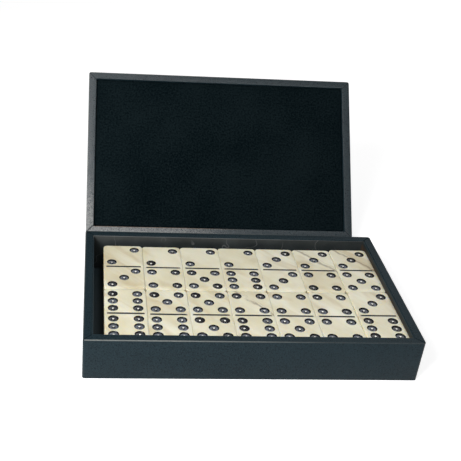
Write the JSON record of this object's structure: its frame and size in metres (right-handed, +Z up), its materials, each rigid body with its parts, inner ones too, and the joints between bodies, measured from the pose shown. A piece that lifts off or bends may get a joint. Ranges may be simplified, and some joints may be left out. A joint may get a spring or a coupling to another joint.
{
  "type": "domino storage box",
  "caption": "Book-style leatherette case with a velvet-lined lid on a folding spine, holding a full set of ivory dominoes that lift out of the tray.",
  "frame": {"origin": "centre of the base's underside, on the surface the case stands on", "axes": "+Z up, +Y from the front of the base back to the lid, +X to the right of someone who sits in front of the open case"},
  "size_m": [0.1928, 0.2287, 0.0988],
  "materials": {
    "board": "matte",
    "leatherette": "satin",
    "tray_liner": "satin",
    "velvet": "matte",
    "ivory_resin": "gloss"
  },
  "bodies": {
    "base": {"base_wall_front": "board", "base_wall_back": "board", "base_wall_left": "board", "base_wall_right": "board", "base_bottom_board": "board", "base_underside_sheet": "leatherette", "base_wrap": "leatherette", "base_liner_front": "tray_liner", "base_liner_back": "tray_liner", "base_liner_left": "tray_liner", "base_liner_right": "tray_liner", "base_floor_liner": "tray_liner", "lower_hinge_strip": "leatherette", "domino_0_0": "ivory_resin", "domino_0_1": "ivory_resin", "domino_0_2": "ivory_resin", "domino_0_3": "ivory_resin", "domino_0_4": "ivory_resin", "domino_0_5": "ivory_resin", "domino_0_6": "ivory_resin", "domino_1_1": "ivory_resin", "domino_1_2": "ivory_resin", "domino_1_3": "ivory_resin", "domino_1_4": "ivory_resin", "domino_1_5": "ivory_resin", "domino_1_6": "ivory_resin", "domino_2_2": "ivory_resin"},
    "spine": {"spine_board": "board", "spine_cover": "leatherette", "spine_lining": "leatherette"},
    "lid": {"upper_hinge_strip": "leatherette", "lid_wall_front": "board", "lid_wall_back": "board", "lid_wall_left": "board", "lid_wall_right": "board", "lid_top_board": "board", "lid_wrap": "leatherette", "lid_lining_card": "board", "lid_velvet": "velvet"},
    "tile_2_3": {"domino_2_3": "ivory_resin"},
    "tile_2_4": {"domino_2_4": "ivory_resin"},
    "tile_2_5": {"domino_2_5": "ivory_resin"},
    "tile_2_6": {"domino_2_6": "ivory_resin"},
    "tile_3_3": {"domino_3_3": "ivory_resin"},
    "tile_3_4": {"domino_3_4": "ivory_resin"},
    "tile_3_5": {"domino_3_5": "ivory_resin"},
    "tile_6_6": {"domino_6_6": "ivory_resin"},
    "tile_5_6": {"domino_5_6": "ivory_resin"},
    "tile_5_5": {"domino_5_5": "ivory_resin"},
    "tile_4_6": {"domino_4_6": "ivory_resin"},
    "tile_4_5": {"domino_4_5": "ivory_resin"},
    "tile_4_4": {"domino_4_4": "ivory_resin"},
    "tile_3_6": {"domino_3_6": "ivory_resin"}
  },
  "joints": [
    {"name": "spine_hinge", "type": "hinge", "parent": "base", "child": "spine", "pos_m": [0, 0.06055, 0.0006], "axis": [-1, 0, 0], "range_deg": [-90, 0]},
    {"name": "lid_hinge", "type": "hinge", "parent": "spine", "child": "lid", "pos_m": [0, 0.09565, 0.0006], "axis": [-1, 0, 0], "range_deg": [-38.5, 51.5]},
    {"name": "lift_2_3", "type": "slide", "parent": "base", "child": "tile_2_3", "axis": [0, 0, 1], "range_m": [0, 0.03]},
    {"name": "lift_2_4", "type": "slide", "parent": "base", "child": "tile_2_4", "axis": [0, 0, 1], "range_m": [0, 0.03]},
    {"name": "lift_2_5", "type": "slide", "parent": "base", "child": "tile_2_5", "axis": [0, 0, 1], "range_m": [0, 0.03]},
    {"name": "lift_2_6", "type": "slide", "parent": "base", "child": "tile_2_6", "axis": [0, 0, 1], "range_m": [0, 0.03]},
    {"name": "lift_3_3", "type": "slide", "parent": "base", "child": "tile_3_3", "axis": [0, 0, 1], "range_m": [0, 0.03]},
    {"name": "lift_3_4", "type": "slide", "parent": "base", "child": "tile_3_4", "axis": [0, 0, 1], "range_m": [0, 0.03]},
    {"name": "lift_3_5", "type": "slide", "parent": "base", "child": "tile_3_5", "axis": [0, 0, 1], "range_m": [0, 0.03]},
    {"name": "lift_6_6", "type": "slide", "parent": "base", "child": "tile_6_6", "axis": [0, 0, 1], "range_m": [0, 0.03]},
    {"name": "lift_5_6", "type": "slide", "parent": "base", "child": "tile_5_6", "axis": [0, 0, 1], "range_m": [0, 0.03]},
    {"name": "lift_5_5", "type": "slide", "parent": "base", "child": "tile_5_5", "axis": [0, 0, 1], "range_m": [0, 0.03]},
    {"name": "lift_4_6", "type": "slide", "parent": "base", "child": "tile_4_6", "axis": [0, 0, 1], "range_m": [0, 0.03]},
    {"name": "lift_4_5", "type": "slide", "parent": "base", "child": "tile_4_5", "axis": [0, 0, 1], "range_m": [0, 0.03]},
    {"name": "lift_4_4", "type": "slide", "parent": "base", "child": "tile_4_4", "axis": [0, 0, 1], "range_m": [0, 0.03]},
    {"name": "lift_3_6", "type": "slide", "parent": "base", "child": "tile_3_6", "axis": [0, 0, 1], "range_m": [0, 0.03]}
  ]
}
